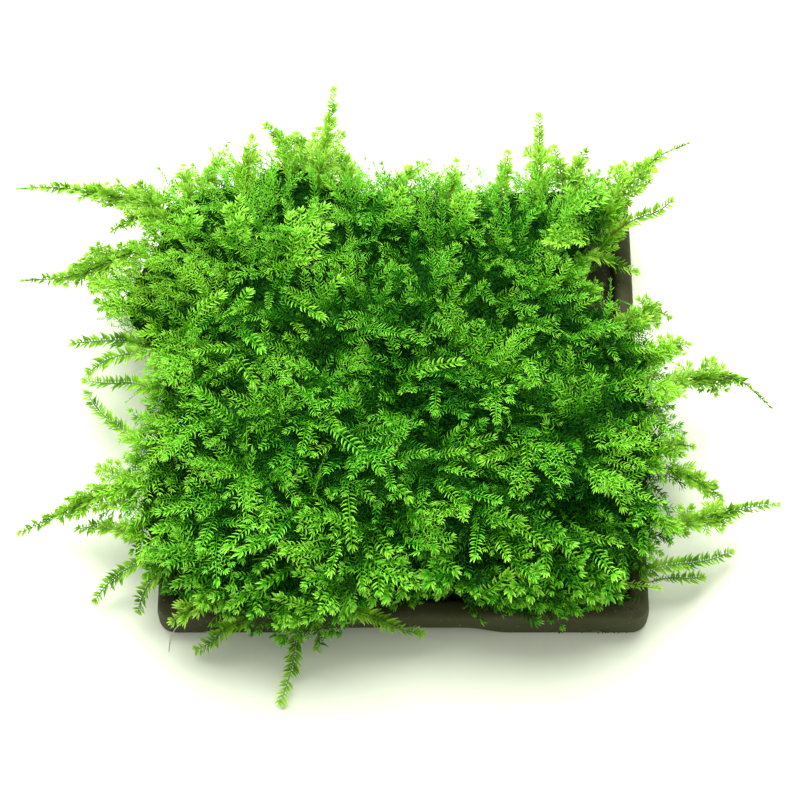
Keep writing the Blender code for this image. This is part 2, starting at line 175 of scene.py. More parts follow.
# Trailing shoots, as in the solids: where each leaves the mass, a point on its way, and its tip
SHOOTS = {
    "left": (
        ((-44.5, 31, 18), (-58.5, 34.5, 17), (-67.5, 35.5, 15)),
        ((-43.5, 28, 19), (-48, 28, 16), (-50.5, 28.5, 12.5)),
        ((-47, 21.5, 17), (-56, 18.5, 15), (-66.5, 20, 10)),
        ((-45.5, 7, 13), (-51.5, 8, 11), (-57, 8.5, 9)),
        ((-47, 4, 14), (-50.5, 3, 13), (-53.5, 2, 10)),
        ((-44.5, -0.5, 12), (-49.5, 1, 9), (-55, 3, 6)),
        ((-46, -9, 11), (-50.5, -4.5, 8), (-54.5, 1.5, 5)),
        ((-46.5, -19, 12), (-56, -22, 8), (-64.5, -24, 3)),
        ((-46, -26, 10), (-50, -24.5, 8), (-54.5, -24, 5)),
        ((-43.5, -31.5, 9), (-48.5, -33.5, 5), (-51, -36, 2)),
        ((-40.5, -35, 11), (-42.6, -37, 7), (-43.4, -38, 3)),
    ),
    "front": (
        ((-32, -39.5, 13), (-35, -41, 12), (-37.5, -41.5, 9)),
        ((-28, -42, 8), (-31.5, -43.5, 4), (-34.5, -43.5, 0.8)),
        ((-17, -42, 8.5), (-18, -46.5, 2.5), (-20, -53, 0.8)),
        ((-14, -42, 8.5), (-13.5, -43.5, 5), (-14.5, -43.5, 1.2)),
        ((-6, -40.5, 10), (-1, -41.8, 7), (3.5, -42, 4.5)),
    ),
    "back": (
        ((-33.5, 37, 17), (-32, 39, 18), (-31, 41.9, 17)),
        ((-27.5, 36, 19), (-26, 40, 20), (-26.5, 43.5, 20)),
        ((-20, 39, 19.5), (-21.5, 43, 19), (-24.5, 47, 18)),
        ((-17, 40, 20), (-18, 43, 19), (-19, 45.5, 18)),
        ((-14, 36.5, 21.5), (-12.5, 45, 22), (-12, 52, 22)),
        ((-9.5, 37, 18), (-10.5, 40, 18), (-10.5, 43.5, 16.5)),
        ((-1, 35.5, 17), (1.5, 37.6, 17.3), (3.7, 40.2, 15.8)),
        ((8.5, 35.5, 17), (9, 38, 17.3), (9.5, 40.5, 16.5)),
        ((17.5, 37, 18), (18, 39.3, 18), (18.2, 41.9, 17)),
        ((23, 35, 20), (23.5, 42, 20), (23.5, 48, 20)),
        ((27, 38, 18), (26.5, 40, 18), (26.5, 43, 17)),
        ((29.5, 36, 18), (30.5, 39, 18), (32, 42.5, 16.5)),
        ((-37, 34, 17), (-37.9, 37.5, 16.5), (-38.3, 40.6, 14.8)),
    ),
    "right": (
        ((37, 33.5, 17), (44, 41, 16), (50.5, 44.5, 16)),
        ((39, 29, 15), (44, 31.5, 14), (47, 34.5, 14)),
        ((33, 23.5, 13), (37, 23, 10.5), (41, 22, 9)),
        ((38.5, 10.5, 15), (42.5, 13, 13), (46, 12.5, 10)),
        ((41.5, 4, 13), (45, 6, 12.5), (49, 8, 10)),
        ((46.5, -1, 14), (55.5, 0.5, 12), (63, -2.5, 6)),
        ((43.5, -11.5, 11), (46.6, -10.6, 9.5), (48.9, -10, 7)),
        ((47.5, -16, 9), (50.5, -17.5, 7), (53.5, -18.5, 4)),
        ((47, -24.5, 10), (56.5, -21, 7), (63.5, -18.5, 3)),
        ((42, -32, 9), (49, -30, 6), (55, -27, 3)),
        ((42.5, -33.3, 7), (46.7, -32.6, 5), (50, -31.3, 2.5)),
        ((36.5, -35.5, 10), (39.5, -35.7, 9.5), (42, -35.8, 8.6)),
    ),
}
SHOOT_SEED = 500
SHOOT_STRETCH = 2.6  # length of the sprigs that make up a shoot's stem
SHOOT_HIDDEN = 8.0  # length of a shoot that lies inside the mat
SHOOT_ROOT = 4.0  # length of each of the two steps by which its line goes on into the mass
SHOOT_ROOT_DROP = (0, 0, -0.7)  # added to the line's direction there
SHOOT_TIP_LEAF = 0.7  # how far the last leaves reach past the stem
BARE_SHOOTS = (  # these have no side twigs
    "front_2", "front_3", "front_4", "front_5", "right_2", "right_3", "right_10", "right_11", "right_12",
    "left_4", "left_5", "left_6", "left_7", "left_10", "left_11",
)
BARE_ROOTS = ("right_11", "right_12")  # these have small leaves where they cross the tray's rim
# Share of a bushy shoot along which its side twigs shrink to nothing, and its longest twigs
SHOOT_TWIGS = {
    "left_1": (0.5, 4.0), "left_3": (0.6, 4.4), "left_8": (0.7, 4.0), "right_1": (0.5, 3.8),
    "right_4": (0.8, 2.6), "right_5": (0.8, 3.0), "right_6": (0.30, 3.8), "right_8": (0.4, 1.8),
    "right_9": (0.3, 3.2), "back_3": (0.5, 2.5), "back_5": (0.5, 3.5), "back_10": (0.25, 2.5),
}
COMB_TWIGS = (0.2, 1.2)  # the same of the other shoots, which are slim combs
BUSH = dict(leaf=1.9, girth=0.18, broad=1.9, ropy=0.5, shade=0.58, warm=0.70)
COMB = dict(leaf=2.0, girth=0.22, broad=1.6, ropy=0.32, shade=0.62, warm=0.80)
# Share of a shoot past which it is only a thin stem with small leaves that lie close to it
SHOOT_THIN = {"left_1": 0.78, "left_3": 0.70, "right_1": 0.55, "right_6": 0.45}

# Fronds that lie on top of the mat: where each starts and ends in plan, and 1 if it is branched
FRONDS = (
    (-9, -21, -8.1, -33.5, 0), (-1.2, -4.9, 8.9, -3.1, 0), (17, -29.1, 22.4, -33.5, 0),
    (24.5, -31.1, 27.8, -35, 0), (29.7, -19.8, 35.6, -25, 1), (32.9, 26.7, 24.6, 20.9, 1),
    (-21.1, 14.3, -12.4, 22.1, 1), (-27.1, 4.6, -23.1, -0.2, 0), (-35.4, 6.8, -30.1, 10.7, 0),
    (-29.2, 18, -27.4, 24, 1), (-27.6, -0.2, -24.2, -5.6, 0), (-36.2, 1.3, -37.5, -4.5, 1),
    (-13.7, -12.4, -3.7, -21.8, 0), (-0.5, -31.2, -0.2, -38.8, 0), (-20.4, -31.7, -14.6, -37.7, 0),
    (-24.6, -20.1, -24.2, -27, 0), (-2.4, -22.8, 0.7, -25.6, 0), (-20.6, -28.1, -23.7, -33.2, 0),
    (-22.5, 18.5, -13, 27, 1), (-29, 21.5, -27.5, 28.5, 1), (-36.5, 21, -35.5, 27, 1),
    (-28, 8, -25.5, 12, 0), (-20, 10, -13.5, 5.5, 0), (-14.5, 8.5, -10.5, 12.5, 0),
    (26, 25, 34, 32.5, 1), (8, 22, 11.5, 29.5, 1), (-2, 24, 0, 31.5, 1),
)

# Layers of the mat: how its sprigs are scattered, their length, the lift of their ends, how much they
# stray, where they root, their leaves' size and breadth, the size of their tips' fans, their shade, its
# spread and its gain at the back as painted light, how near a hollow's middle they end, and the share of
# dead ones
PLUME = dict(
    spacing=4.2, inset=1.2, lowest_deg=-62, length=(8.0, 14.0), lift=(-0.05, 0.5), stray=0.4, root_back=0.45,
    deep=2.2, leaf=1.0, broad=1.0, tip=0.8, shade=0.37, mixed=0.12, far=0.05, open=HOLLOW_OPEN, dead=0.0)
FEATHER = dict(
    spacing=2.9, inset=1.0, lowest_deg=-50, length=(6.0, 11.0), lift=(0.0, 1.1), stray=0.55, root_back=0.35,
    deep=1.5, leaf=1.05, broad=1.0, tip=1.0, shade=0.42, mixed=0.13, far=0.05, open=HOLLOW_OPEN, dead=0.0)
# The under layer is darker: its leaves are older, and it carries painted shade deep in the mat
UNDER = dict(
    spacing=1.9, inset=2.0, lowest_deg=-62, length=(5.0, 8.0), lift=(-0.1, 0.6), stray=0.8, root_back=0.4,
    deep=2.8, leaf=0.9, broad=1.1, tip=0.8, shade=0.28, mixed=0.10, far=0.11, open=0.0, dead=0.04)
SHORTEST_SPRIG = 2.5
STEM_STRETCHES = 3
STEM_TAPER = 0.55

# Leaves: shares of their length to their widest place, their bend and their tip
LEAF_PARTS = (0.27, 0.35, 0.38)
LEAF_BEND = 0.34  # half their width at the bend, as a share of their greatest width
LEAF_FACES = ((0, 2, 1), (2, 4, 3), (2, 3, 1), (4, 5, 3))
LEAF_SHADES = (0.33, 0.73)  # darkest and palest leaf
WARMTHS = (0.06, 0.94)
# Paler from a leaf's base to its tip and towards its front edge: painted shade at the base and a painted
# highlight along the front edge and at the tip
LEAF_PAINTED_LIGHT = np.array((-0.15, 0.12, -0.15, 0.20, -0.09, 0.27))
LEAF_WARMTH = np.array((0.0, 0.02, -0.02, 0.02, -0.02, 0.0))
# Paler by this for each millimetre further out of the mat, between two depths (older leaves lie deeper, and
# painted shade in the mat's depths), and by this at a tip
DEPTH_SHADE = 0.09
DEPTHS = (-5.0, 4.0)
TIP_SHADE = 0.27
LOWEST = 0.6  # clearance of stems and leaves over the table, before a leaf's tip droops
WALL_CLEARANCE = (0.2, 0.15, 0.1)  # of leaves on the wall's inside, its outside and its rim

# Linear colours of the leaves at these shades. The first two are those of brown stems. The palest stops are
# whitish: pale young tips, and painted glints.
LEAF_STOPS = (0.0, 0.14, 0.18, 0.35, 0.55, 0.75, 0.9, 1.0)
COOL_LEAVES = (
    (0.05, 0.024, 0.008), (0.055, 0.075, 0.012), (0.001, 0.023, 0.003), (0.005, 0.074, 0.004),
    (0.02, 0.232, 0.006), (0.09, 0.51, 0.012), (0.31, 0.77, 0.08), (0.6, 0.93, 0.27),
)
WARM_LEAVES = (
    (0.11, 0.035, 0.012), (0.16, 0.17, 0.03), (0.004, 0.034, 0.001), (0.016, 0.1, 0.002),
    (0.08, 0.29, 0.004), (0.24, 0.57, 0.014), (0.45, 0.8, 0.095), (0.67, 0.93, 0.3),
)
PALE_LEAVES = (
    (0.11, 0.05, 0.018), (0.18, 0.21, 0.04), (0.02, 0.07, 0.004), (0.06, 0.19, 0.008),
    (0.17, 0.42, 0.02), (0.36, 0.68, 0.055), (0.55, 0.85, 0.15), (0.72, 0.93, 0.32),
)
# The near-black greens of the inner mass are painted shade deep in the mat; the brown is its old stems
HEART_STEM_AND_SHADE_COLOURS = (
    (0.36, (0.0003, 0.006, 0.0003)), (0.48, (0.001, 0.018, 0.001)), (0.56, (0.006, 0.075, 0.002)),
    (0.62, (0.002, 0.030, 0.001)), (0.74, (0.024, 0.016, 0.006)),
)
PLASTIC_COLOURS = (
    (0.30, (0.034, 0.037, 0.012)), (0.55, (0.043, 0.046, 0.016)), (0.75, (0.060, 0.063, 0.028)),
)
DUST_COLOUR = (0.24, 0.25, 0.19, 1.0)
HAIR_COLOURS = ((0.35, (0.42, 0.42, 0.33)), (0.65, (0.62, 0.62, 0.50)))
CRUMB_COLOURS = ((0.35, (0.010, 0.006, 0.003)), (0.65, (0.045, 0.028, 0.014)))
MIX_INPUTS = (6, 7)  # the colour sockets of a Mix node
MIX_OUTPUT = 2


def unit(vectors):
    """Vectors scaled to length 1."""
    return vectors / np.maximum(np.linalg.norm(vectors, axis=-1, keepdims=True), 1e-9)


def column(values):
    """A row of numbers as a column, to multiply vectors with."""
    return np.asarray(values)[:, None]


def dot(first, second):
    """Products of pairs of vectors."""
    return np.einsum("ij,ij->i", first, second)


def plan_distance(points, x=0.0, y=0.0):
    """Distance of points from a place, seen from above."""
    return np.hypot(points[:, 0] - x, points[:, 1] - y)


def repeated(pattern, size, count):
    """The triangles of one piece, repeated for a number of pieces with this many corners each."""
    return (np.array(pattern)[None] + size * np.arange(count)[:, None, None]).reshape(-1, 3)


def outline_radius(angles):
    """Distance from the middle to the mat's outline in each direction."""
    xy = np.array(MAT_OUTLINE)
    at = np.unwrap(np.arctan2(xy[:, 1], xy[:, 0]))
    turn = 2 * math.pi
    at = np.concatenate((at - turn, at, at + turn))
    return np.interp(angles, at, np.tile(np.hypot(xy[:, 0], xy[:, 1]), 3))


def mat_height(x, y):
    """Height of the smooth mat above a place in plan."""
    share = np.hypot(x, y) / (outline_radius(np.arctan2(y, x)) - MAT_INSET)
    share = np.minimum(share, 1.0)
    up = (1 - share ** MAT_EDGE_POWER) ** (1 / MAT_EDGE_POWER)
    return MAT_LEVEL + (MAT_TOP - MAT_LEVEL) * up


def mat_rings(inset, lowest_deg, levels, around):
    """Points of the mat's surface in rings from its top's middle down past its widest level."""
    turns = np.radians(np.linspace(89.5, lowest_deg, levels))[:, None]
    angles = np.linspace(0, 2 * math.pi, around, endpoint=False)[None, :]
    power = 2 / MAT_EDGE_POWER
    reach = (outline_radius(angles) - inset) * np.cos(turns) ** power
    up = np.sign(np.sin(turns)) * np.abs(np.sin(turns)) ** power
    height = np.where(up > 0, (MAT_TOP - inset - MAT_LEVEL) * up, (MAT_LEVEL - TRAY_HEIGHT) * up)
    z = np.broadcast_to(MAT_LEVEL + height, reach.shape)
    return np.stack((reach * np.cos(angles), reach * np.sin(angles), z), axis=-1)


def ring_normals(rings):
    """Outward normals of a grid of rings."""
    along = np.roll(rings, -1, axis=1) - np.roll(rings, 1, axis=1)
    down = np.gradient(rings, axis=0)
    return unit(np.cross(down, along))


def bare_share(points):
    """How bare the mat's edge is at each point: 1 at the middle of a bare place, 0 away from them."""
    away = np.full(len(points), np.inf)
    for x, y in BARE_EDGES:
        away = np.minimum(away, plan_distance(points, x, y))
    near, far = BARE_EDGE_REACH
    return np.clip((far - away) / (far - near), 0, 1)


def extra_reach(points):
    """How much further than elsewhere the twigs reach at each point of the mat's edge."""
    extra = np.zeros(len(points))
    for x, y, reach in LONG_EDGES:
        extra += reach * np.exp(-(plan_distance(points, x, y) / LONG_EDGE_RADIUS) ** 2)
    return extra


def lumps(points):
    """How far the mat bulges out at each point, and the top of the hummock that it belongs to."""
    rise = np.zeros(len(points))
    tops = np.zeros((len(points), 3))
    best = np.full(len(points), -np.inf)
    for x, y, high in HUMMOCKS:
        reach = outline_radius(math.atan2(y, x)) - HUMMOCK_EDGE
        keep = min(1.0, reach / math.hypot(x, y))
        top = np.array([x * keep, y * keep, mat_height(x * keep, y * keep)])
        away = np.linalg.norm(points - top, axis=1)
        dome = high * (1 - (away / HUMMOCK_RADIUS) ** 2)
        nearer = dome > best
        best[nearer] = dome[nearer]
        tops[nearer] = top
        rise = np.maximum(rise, dome)
    for x, y in HOLLOWS:
        away = np.linalg.norm(points - np.array([x, y, mat_height(x, y)]), axis=1)
        rise -= HOLLOW_DEPTH * np.exp(-(away / HOLLOW_RADIUS) ** 2)
    return rise + EDGE_PULL * np.minimum(extra_reach(points), 0), tops


def on_mat(plan, above):
    """Points over places in plan, this far above the lumpy mat."""
    points = np.column_stack((plan, mat_height(plan[:, 0], plan[:, 1])))
    rise, _ = lumps(points)
    return points + column(rise + above) * UP


def spread_out(points, spacing):
    """Indices of points that keep at least a spacing from those kept before them."""
    cells = {}
    kept = []
    for i, point in enumerate(points.tolist()):
        home = tuple(int(math.floor(k / spacing)) for k in point)
        near = (cells.get((home[0] + i, home[1] + j, home[2] + k), ())
                for i in (-1, 0, 1) for j in (-1, 0, 1) for k in (-1, 0, 1))
        if all(math.dist(point, other) >= spacing for group in near for other in group):
            cells.setdefault(home, []).append(point)
            kept.append(i)
    return np.array(kept)


def scatter(chance, spacing, inset, lowest_deg):
    """Places spread evenly over the lumpy mat: points, normals, their hummocks' tops and their rise."""
    rings = mat_rings(inset, lowest_deg, *SCATTER_GRID)
    normals = ring_normals(rings)
    a, b, c = rings[:-1], np.roll(rings, -1, axis=1)[:-1], rings[1:]
    area = np.linalg.norm(np.cross(b - a, c - a), axis=-1)
    tries = int(area.sum() / spacing ** 2 * SCATTER_TRIES)
    picks = chance.choice(area.size, tries, p=(area / area.sum()).ravel())
    u, v = chance.random((2, tries, 1))
    flat_a, flat_b, flat_c = (part.reshape(-1, 3)[picks] for part in (a, b, c))
    points = flat_a + u * (flat_b - flat_a) + v * (flat_c - flat_a)
    kept = spread_out(points, spacing)
    points = points[kept]
    normals = normals[:-1].reshape(-1, 3)[picks[kept]]
    rise, tops = lumps(points)
    return points + column(rise) * normals, normals, tops, rise


def sprig_group(count, **values):
    """A number of sprigs, from values that are arrays or one number for all of them."""
    return {key: np.full(count, float(value)) if np.ndim(value) == 0 else value
            for key, value in values.items()}


def pick(sprigs, which):
    """Some of the sprigs."""
    return {key: values[which] for key, values in sprigs.items()}


def join(groups):
    """Several groups of sprigs as one."""
    return {key: np.concatenate([group[key] for group in groups]) for key in groups[0]}


def numbered(counts):
    """For so many things on each stem: the stem that each is on, and its number there."""
    who = np.repeat(np.arange(len(counts)), counts)
    return who, np.arange(len(who)) - np.repeat(np.cumsum(counts) - counts, counts)


def frames_at(sprigs, who, t):
    """Point, direction, side and upper side of stems at shares of their length."""
    t = column(t)
    first, last = sprigs["heading"][who], sprigs["ending"][who]
    run = (t - t ** 2 / 2) * first + t ** 2 / 2 * last
    point = sprigs["start"][who] + column(sprigs["length"][who]) * run
    ahead = unit((1 - t) * first + t * last)
    above = unit(np.cross(sprigs["side"][who], ahead))
    return point, ahead, unit(np.cross(ahead, above)), above


def shade_of(sprigs, who, point, t):
    """Shade at stem points: paler further out of the mat (older leaves, painted shade deep in it) and nearer
    the tip.
    """
    depth = np.clip(dot(point - sprigs["ground"][who], sprigs["outward"][who]), *DEPTHS)
    return sprigs["shade"][who] + DEPTH_SHADE * depth + TIP_SHADE * sprigs["taper"][who] * t ** 2 - 0.04


def turned(ahead, side, above, turn, lift):
    """Directions turned from ahead towards the side, and lifted."""
    return unit(column(np.cos(turn)) * ahead + column(np.sin(turn)) * side + column(lift) * above)


def side_rows(sprigs, chance):
    """Two alternating rows of curved leaves along each stem. On a ropy sprig they lie close to it."""
    pairs = np.maximum(np.round(sprigs["length"] / sprigs["pitch"]).astype(int), 2)
    who, place = numbered(pairs)
    count = len(who)
    rows = []
    for hand, lag in ((1.0, 0.25), (-1.0, 0.75)):
        t = (place + lag + chance.uniform(-0.08, 0.08, count)) / pairs[who]
        point, ahead, side, above = frames_at(sprigs, who, t)
        ropy, taper = sprigs["ropy"][who], sprigs["taper"][who]
        spread = np.radians(82 - 44 * ropy - 18 * taper * t ** 2 + chance.normal(0, 7, count))
        curl = np.radians(36 - 22 * ropy + chance.normal(0, 9, count))
        lift = chance.normal(0.14, 0.14 + 0.40 * ropy, count)
        young = 0.30 * (1 - np.sin(math.pi * np.minimum(t / 0.5, 1) / 2)) + 0.22 * t ** 3
        length = sprigs["leaf"][who] * (1 - young * taper) * chance.uniform(0.82, 1.14, count)
        rows.append(dict(
            base=point, way=turned(ahead, hand * side, above, spread, lift),
            end=turned(ahead, hand * side, above, spread - curl, lift - 0.1),
            above=-hand * above, length=length,
            width=length * chance.uniform(0.155, 0.215, count) * sprigs["broad"][who]
            * (1 + (sprigs["blade"][who] - 1) * t ** 2),
            shade=shade_of(sprigs, who, point, t) + chance.normal(0, 0.05, count),
            warm=sprigs["warm"][who],
        ))
    return rows


def tip_fans(sprigs, chance):
    """The tuft of paler leaves at each stem's tip, closed to a bud on a ropy sprig."""
    who = np.flatnonzero(sprigs["tip"] > 0)
    count = len(who)
    t = np.ones(count)
    point, ahead, side, above = frames_at(sprigs, who, t)
    rows = []
    for turn_deg in (-58, -28, 0, 28, 58):
        turn = np.radians(turn_deg * (1 - 0.72 * sprigs["ropy"][who]) + chance.normal(0, 6, count))
        lift = chance.normal(0.08, 0.18, count)
        length = sprigs["leaf"][who] * sprigs["tip"][who] * chance.uniform(0.85, 1.15, count)
        length *= 1.0 - abs(turn_deg) / 220
        rows.append(dict(
            base=point - column(length * 0.25) * ahead, way=turned(ahead, side, above, turn * 1.15, lift),
            end=turned(ahead, side, above, turn * 0.6, lift - 0.1), above=above, length=length,
            width=length * chance.uniform(0.155, 0.22, count) * sprigs["broad"][who] * sprigs["blade"][who],
            shade=shade_of(sprigs, who, point, t) + 0.05 + chance.normal(0, 0.05, count),
            warm=sprigs["warm"][who],
        ))
    return rows


def leaf_line(leaves):
    """Where each leaf is widest, where it bends and where it ends."""
    long = column(leaves["length"])
    widest = leaves["base"] + LEAF_PARTS[0] * long * leaves["way"]
    bent = widest + LEAF_PARTS[1] * long * unit(leaves["way"] + leaves["end"])
    return widest, bent, bent + LEAF_PARTS[2] * long * leaves["end"]


def clear_of_tray(leaves):
    """True for leaves that neither pass through the tray's wall nor dip below the table."""
    inside, outside, over = WALL_CLEARANCE
    keep = np.full(len(leaves["length"]), True)
    for point in (leaves["base"], *leaf_line(leaves)):
        reach = np.abs(point[:, :2]).max(axis=1)
        in_wall = (reach > TRAY_HALF - TRAY_WALL - inside) & (reach < TRAY_HALF + TRAY_FLARE + outside)
        keep &= ~(in_wall & (point[:, 2] < TRAY_HEIGHT + over))
        keep &= point[:, 2] > LOWEST
    return keep


def leaf_mesh(rows, chance):
    """Pointed leaves that curve along their length: six corners and four triangles each."""
    leaves = join(rows)
    leaves = pick(leaves, clear_of_tray(leaves))
    count = len(leaves["length"])
    across = unit(np.cross(leaves["above"], leaves["way"]))
    roll = chance.normal(0, 0.3, (2, count))
    low, high = (column(np.cos(r)) * across + column(np.sin(r)) * leaves["above"] for r in roll)
    long, wide = column(leaves["length"]), column(leaves["width"])
    widest, bent, tip = leaf_line(leaves)
    tip = tip + column(chance.normal(0, 0.09, count)) * long * leaves["above"]
    corners = (leaves["base"], widest + 0.5 * wide * low, widest - 0.5 * wide * low,
               bent + LEAF_BEND * wide * high, bent - LEAF_BEND * wide * high, tip)
    shade = column(np.clip(leaves["shade"], *LEAF_SHADES)) + LEAF_PAINTED_LIGHT
    warm = column(leaves["warm"]) + LEAF_WARMTH
    corners = np.stack(corners, axis=1).reshape(-1, 3)
    return corners, repeated(LEAF_FACES, 6, count), shade.ravel(), warm.ravel()


def stem_mesh(sprigs):
    """Three-sided tapering stems."""
    count = len(sprigs["length"])
    everyone = np.arange(count)
    corners = []
    green = []
    for step in range(STEM_STRETCHES + 1):
        t = np.full(count, step / STEM_STRETCHES)
        point, _, side, above = frames_at(sprigs, everyone, t)
        girth = column(sprigs["girth"] * (1 - STEM_TAPER * t))
        for turn in (0, 2 * math.pi / 3, 4 * math.pi / 3):
            corners.append(point + girth * (math.cos(turn) * side + math.sin(turn) * above))
            green.append(shade_of(sprigs, everyone, point, t))
    corners = np.stack(corners, axis=1)
    green = np.clip(np.stack(green, axis=1) - 0.06, *LEAF_SHADES)
    pattern = []
    for step in range(STEM_STRETCHES):
        for k in range(3):
            a, b = 3 * step + k, 3 * step + (k + 1) % 3
            pattern += [(a, b, b + 3), (a, b + 3, a + 3)]
    size = 3 * (STEM_STRETCHES + 1)
    along = np.repeat(np.linspace(0, 1, STEM_STRETCHES + 1), 3)[None]
    round_stem = np.tile((0.0, 0.02, 0.01), STEM_STRETCHES + 1)[None]
    brown = column(sprigs["stem"])
    shade = np.where(brown > 0, brown, green) + 0.02 * along + 0.3 * round_stem
    warm = column(sprigs["warm"]) + round_stem
    return corners.reshape(-1, 3), repeated(pattern, size, count), shade.ravel(), warm.ravel()


def above_table(sprigs):
    """The sprigs whose stems stay above the table."""
    low = sprigs["start"][:, 2]
    for t in (0.5, 1.0):
        point = frames_at(sprigs, np.arange(len(low)), np.full(len(low), t))[0]
        low = np.minimum(low, point[:, 2])
    return pick(sprigs, np.flatnonzero(low > LOWEST))


def add_mesh(name, corners, faces, material):
    """An object from corners in millimetres and triangles."""
    mesh = bpy.data.meshes.new(name)
    mesh.vertices.add(len(corners))
    mesh.vertices.foreach_set("co", (corners * MM).astype(np.float32).ravel())
    mesh.loops.add(faces.size)
    mesh.loops.foreach_set("vertex_index", faces.astype(np.int32).ravel())
    mesh.polygons.add(len(faces))
    mesh.polygons.foreach_set("loop_start", np.arange(0, faces.size, 3, dtype=np.int32))
    mesh.polygons.foreach_set("loop_total", np.full(len(faces), 3, dtype=np.int32))
    mesh.update(calc_edges=True)
    mesh.materials.append(material)
    thing = bpy.data.objects.new(name, mesh)
    bpy.context.scene.collection.objects.link(thing)
    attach(thing, "root")
    return thing


def add_moss(name, sprigs, material, chance):
    """One piece of moss from its sprigs, with its colours on its points and in its colour map."""
    sprigs = above_table(sprigs)
    leaves = leaf_mesh(side_rows(sprigs, chance) + tip_fans(sprigs, chance), chance)
    stems = stem_mesh(sprigs)
    corners, _, shade, warm = (np.concatenate(pair) for pair in zip(leaves, stems))
    faces = np.concatenate((leaves[1], stems[1] + len(leaves[0])))
    shade, warm = shade.astype(np.float32), warm.astype(np.float32)
    thing = add_mesh(name, corners, faces, material)
    for label, values in (("shade", shade), ("warm", warm)):
        thing.data.attributes.new(label, "FLOAT", "POINT").data.foreach_set("value", values)
    colour_map = thing.data.uv_layers.new(name="OFBake")
    loops = faces.ravel()
    colour_map.data.foreach_set("uv", np.stack((shade[loops], warm[loops]), axis=1).ravel())
    return thing


def drift(points):
    """A slowly turning direction over the mat, so that neighbouring fronds lean alike."""
    x, y = points[:, 0], points[:, 1]
    turn = 2.4 * np.sin(0.16 * x + 0.9) + 2.1 * np.sin(0.14 * y - 0.07 * x + 2.0)
    return np.stack((np.cos(turn), np.sin(turn), np.zeros(len(x))), axis=1)


def tips_of(sprigs):
    """Where the sprigs' stems end."""
    return sprigs["start"] + column(sprigs["length"] / 2) * (sprigs["heading"] + sprigs["ending"])


def with_hollows(sprigs, open_radius):
    """Sprigs shortened to nothing where they would end over a hollow."""
    tip = tips_of(sprigs)
    for x, y in HOLLOWS:
        over = plan_distance(tip, x, y) < open_radius
        sprigs["length"] = np.where(over, 0.0, sprigs["length"])
    return sprigs


def trimmed(sprigs, beyond):
    """Sprigs shortened so that their tips end at about the mat's outline, or this far beyond it."""
    tip = tips_of(sprigs)
    from_middle, reach = plan_distance(sprigs["start"]), plan_distance(tip)
    limit = outline_radius(np.arctan2(tip[:, 1], tip[:, 0])) + beyond
    share = np.where(reach > limit, (limit - from_middle) / np.maximum(reach - from_middle, 0.1), 1.0)
    sprigs["length"] = sprigs["length"] * np.clip(share, 0.0, 1.0)
    return pick(sprigs, np.flatnonzero(sprigs["length"] > SHORTEST_SPRIG))


def mat_sprigs(chance, kind):
    """Main sprigs that rise out of the mat and arch over, away from their hummock's top."""
    points, normals, tops, rise = scatter(chance, kind["spacing"], kind["inset"], kind["lowest_deg"])
    count = len(points)
    x, y, _ = points.T
    outwards = points * (1.0, 1.0, 0.0)
    from_middle = np.linalg.norm(outwards, axis=1)
    flow = 0.5 * unit(points - tops) + 0.4 * drift(points) + column(from_middle / 50) * unit(outwards)
    flow = flow + chance.normal(0, kind["stray"], (count, 3)) + (0, 0, -0.15)
    flow = unit(flow - column(dot(flow, normals)) * normals)
    front = np.clip((10 - y) / 50, 0, 1)
    size = (0.86 + 0.26 * front) * chance.uniform(0.85, 1.15, count)
    length = chance.uniform(*kind["length"], count) * size
    lift = column(chance.uniform(*kind["lift"], count))
    heading = unit(normals + flow * chance.uniform(0.5, 1.0, (count, 1)))
    ending = unit(flow + lift * normals + np.array((0, 0, -0.12)))
    side = unit(np.cross(flow, normals) + chance.normal(0, 0.45, (count, 3)))
    start = points - column(length * kind["root_back"]) * flow - kind["deep"] * normals
    # Painted light and shade in the sprigs' shade: paler on hummocks and darker in hollows, paler and
    # yellower at the edge where light shines through, and, as painted daylight, paler at the back, on the
    # left and at the front lip
    edge = np.clip(from_middle / 46, 0, 1) ** 3 * (1 - front)
    back = np.clip((y - 8) / 30, 0, 1)
    lip = np.clip((-y - 30) / 8, 0, 1)
    flank = np.clip((np.abs(x) - 33) / 9, 0, 1)
    daylight = 0.0036 * y + 0.0015 * np.maximum(-x, 0) - 0.0006 * np.maximum(x, 0) + 0.06 * lip - 0.01
    sprigs = sprig_group(
        count, start=start, heading=heading, ending=ending, side=side, length=length,
        leaf=1.32 * size * kind["leaf"], pitch=0.58 + 0.24 * front, girth=0.10 * size,
        broad=kind["broad"] * (0.98 + 0.12 * front),
        blade=1 + 0.7 * np.clip((-y - 26) / 12, 0, 1) + 0.2 * back,
        tip=kind["tip"] * (0.70 + 0.40 * front) * chance.uniform(0.85, 1.25, count),
        ropy=np.clip(0.35 * back + 0.4 * edge + chance.normal(0, 0.1, count), 0, 1), taper=1.0,
        shade=kind["shade"] + 0.05 * rise + 0.15 * edge + kind["far"] * back + daylight
        + chance.normal(0, kind["mixed"], count),
        warm=np.clip(0.24 + 0.30 * edge + 0.26 * flank - 0.12 * back + 0.1 * lip
                     + chance.normal(0, 0.16, count), *WARMTHS),
        stem=np.where(chance.random(count) < kind["dead"], 0.02, 0.0), ground=points, outward=normals,
    )
    beyond = chance.normal(-0.3, 0.7, count) + np.minimum(extra_reach(points), 0)
    return trimmed(with_hollows(sprigs, kind["open"]), beyond)


